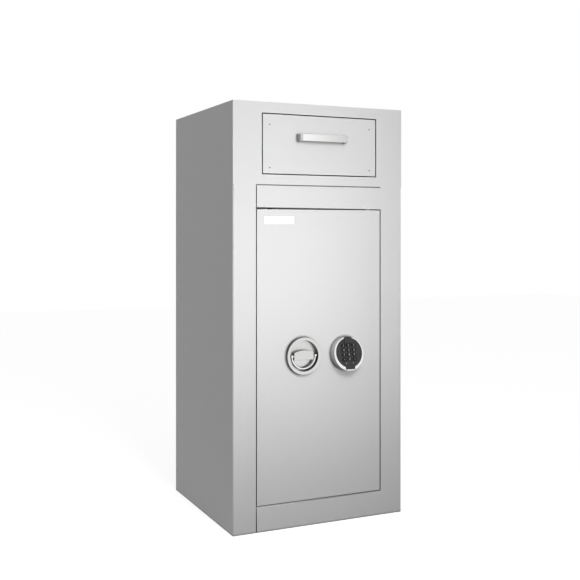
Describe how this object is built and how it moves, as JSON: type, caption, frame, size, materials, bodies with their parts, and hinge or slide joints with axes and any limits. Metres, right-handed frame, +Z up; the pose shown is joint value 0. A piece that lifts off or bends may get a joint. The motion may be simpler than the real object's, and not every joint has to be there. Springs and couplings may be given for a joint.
{
  "type": "drop safe with deposit drawer",
  "caption": "Upright floor safe with a flush hinged door, ring handle and round keypad, under a deposit housing whose pull-out drawer tips its tray into a drop throat.",
  "frame": {"origin": "middle of the body's footprint, on the floor", "axes": "+X to the right seen from the front, the front faces -Y, +Z up"},
  "size_m": [0.45, 0.4516, 1],
  "materials": {
    "cabinet_paint": "satin light grey powder coat",
    "barrier_fill": "cast barrier fill",
    "zinc_sheet": "zinc plated sheet",
    "bright_steel": "turned and ground steel",
    "lock_casting": "die-cast case",
    "satin_handle": "satin nickel",
    "keypad_chrome": "bright chrome",
    "keypad_black": "black moulding",
    "key_rubber": "soft touch keys"
  },
  "bodies": {
    "cabinet": {"body_shell": "cabinet_paint", "barrier_fill": "barrier_fill", "inner_liner": "cabinet_paint", "front_frame": "cabinet_paint", "hinge_post": "cabinet_paint", "hinge_pin_lower": "bright_steel", "hinge_pin_upper": "bright_steel", "upper_housing": "cabinet_paint", "throat_sleeve": "zinc_sheet", "anti_fishing_comb": "zinc_sheet", "runner_bracket_left": "zinc_sheet", "runner_bracket_right": "zinc_sheet", "tray_cam_plate_left": "zinc_sheet", "tray_cam_plate_right": "zinc_sheet", "runner_outer_left": "zinc_sheet", "runner_outer_right": "zinc_sheet"},
    "drawer": {"drawer_front": "cabinet_paint", "drawer_box": "zinc_sheet", "drawer_handle": "satin_handle", "runner_inner_left": "zinc_sheet", "runner_inner_right": "zinc_sheet", "tray_hinge_rod": "bright_steel"},
    "middle_runners": {"runner_middle_left": "zinc_sheet", "runner_middle_right": "zinc_sheet"},
    "tray": {"drop_tray": "zinc_sheet"},
    "door": {"door_leaf": "cabinet_paint", "door_fill": "barrier_fill", "door_box": "cabinet_paint", "door_cover": "cabinet_paint", "hinge_bush_lower": "bright_steel", "hinge_bush_upper": "bright_steel", "hinge_dead_bar": "bright_steel", "bolt_guide": "bright_steel", "lock_case": "lock_casting", "handle_rosette": "satin_handle", "spindle_bush": "bright_steel", "keypad_base": "keypad_chrome", "keypad_face": "keypad_black"},
    "handle": {"handle_hub": "satin_handle", "bail_pin": "bright_steel", "spindle_pinion": "bright_steel"},
    "bail": {"handle_bail": "satin_handle"},
    "bolt_work": {"bolt_bar": "bright_steel", "locking_bolt_lower": "bright_steel", "locking_bolt_middle": "bright_steel", "locking_bolt_upper": "bright_steel"},
    "lock_bolt": {"lock_bolt": "bright_steel"},
    "battery_flap": {"battery_flap": "keypad_black"},
    "key_1": {"key_1": "key_rubber"},
    "key_2": {"key_2": "key_rubber"},
    "key_3": {"key_3": "key_rubber"},
    "key_4": {"key_4": "key_rubber"},
    "key_5": {"key_5": "key_rubber"},
    "key_6": {"key_6": "key_rubber"},
    "key_7": {"key_7": "key_rubber"},
    "key_8": {"key_8": "key_rubber"},
    "key_9": {"key_9": "key_rubber"},
    "key_left": {"key_left": "key_rubber"},
    "key_0": {"key_0": "key_rubber"},
    "key_right": {"key_right": "key_rubber"}
  },
  "joints": [
    {"name": "drawer_slide", "type": "slide", "parent": "cabinet", "child": "drawer", "axis": [0, -1, 0], "range_m": [0, 0.23]},
    {"name": "runner_extend", "type": "slide", "parent": "cabinet", "child": "middle_runners", "axis": [0, -1, 0], "range_m": [0, 0.115]},
    {"name": "tray_tip", "type": "hinge", "parent": "drawer", "child": "tray", "pos_m": [0, -0.196, 0.871], "axis": [1, 0, 0], "range_deg": [0, 25]},
    {"name": "door_swing", "type": "hinge", "parent": "cabinet", "child": "door", "pos_m": [-0.1275, -0.198, 0.40575], "axis": [0, 0, -1], "range_deg": [0, 110]},
    {"name": "handle_turn", "type": "hinge", "parent": "door", "child": "handle", "pos_m": [-0.0485, -0.21, 0.4045], "axis": [0, 1, 0], "range_deg": [0, 90]},
    {"name": "bolt_throw", "type": "slide", "parent": "door", "child": "bolt_work", "axis": [1, 0, 0], "range_m": [0, 0.02356]},
    {"name": "lock_bolt_rise", "type": "slide", "parent": "door", "child": "lock_bolt", "axis": [0, 0, 1], "range_m": [0, 0.00605]},
    {"name": "bail_fold", "type": "hinge", "parent": "handle", "child": "bail", "pos_m": [-0.0485, -0.216, 0.4045], "axis": [-1, 0, 0], "range_deg": [0, 90]},
    {"name": "battery_flap_open", "type": "hinge", "parent": "door", "child": "battery_flap", "pos_m": [0.0645, -0.23857, 0.376], "axis": [-1, 0, 0], "range_deg": [0, 80]},
    {"name": "key_1_press", "type": "slide", "parent": "door", "child": "key_1", "axis": [0, 1, 0], "range_m": [0, 0.001], "stiffness_N_per_m": 400, "springref_m": -0.0005},
    {"name": "key_2_press", "type": "slide", "parent": "door", "child": "key_2", "axis": [0, 1, 0], "range_m": [0, 0.001], "stiffness_N_per_m": 400, "springref_m": -0.0005},
    {"name": "key_3_press", "type": "slide", "parent": "door", "child": "key_3", "axis": [0, 1, 0], "range_m": [0, 0.001], "stiffness_N_per_m": 400, "springref_m": -0.0005},
    {"name": "key_4_press", "type": "slide", "parent": "door", "child": "key_4", "axis": [0, 1, 0], "range_m": [0, 0.001], "stiffness_N_per_m": 400, "springref_m": -0.0005},
    {"name": "key_5_press", "type": "slide", "parent": "door", "child": "key_5", "axis": [0, 1, 0], "range_m": [0, 0.001], "stiffness_N_per_m": 400, "springref_m": -0.0005},
    {"name": "key_6_press", "type": "slide", "parent": "door", "child": "key_6", "axis": [0, 1, 0], "range_m": [0, 0.001], "stiffness_N_per_m": 400, "springref_m": -0.0005},
    {"name": "key_7_press", "type": "slide", "parent": "door", "child": "key_7", "axis": [0, 1, 0], "range_m": [0, 0.001], "stiffness_N_per_m": 400, "springref_m": -0.0005},
    {"name": "key_8_press", "type": "slide", "parent": "door", "child": "key_8", "axis": [0, 1, 0], "range_m": [0, 0.001], "stiffness_N_per_m": 400, "springref_m": -0.0005},
    {"name": "key_9_press", "type": "slide", "parent": "door", "child": "key_9", "axis": [0, 1, 0], "range_m": [0, 0.001], "stiffness_N_per_m": 400, "springref_m": -0.0005},
    {"name": "key_left_press", "type": "slide", "parent": "door", "child": "key_left", "axis": [0, 1, 0], "range_m": [0, 0.001], "stiffness_N_per_m": 400, "springref_m": -0.0005},
    {"name": "key_0_press", "type": "slide", "parent": "door", "child": "key_0", "axis": [0, 1, 0], "range_m": [0, 0.001], "stiffness_N_per_m": 400, "springref_m": -0.0005},
    {"name": "key_right_press", "type": "slide", "parent": "door", "child": "key_right", "axis": [0, 1, 0], "range_m": [0, 0.001], "stiffness_N_per_m": 400, "springref_m": -0.0005}
  ],
  "couplings": [
    {"joint": "runner_extend", "follows": "drawer_slide", "ratio": 0.5},
    {"joint": "tray_tip", "follows": "drawer_slide", "rad_per_m": 1.897},
    {"joint": "handle_turn", "follows": "bolt_throw", "rad_per_m": 66.66},
    {"joint": "lock_bolt_rise", "follows": "bolt_throw", "ratio": 0.2546}
  ]
}
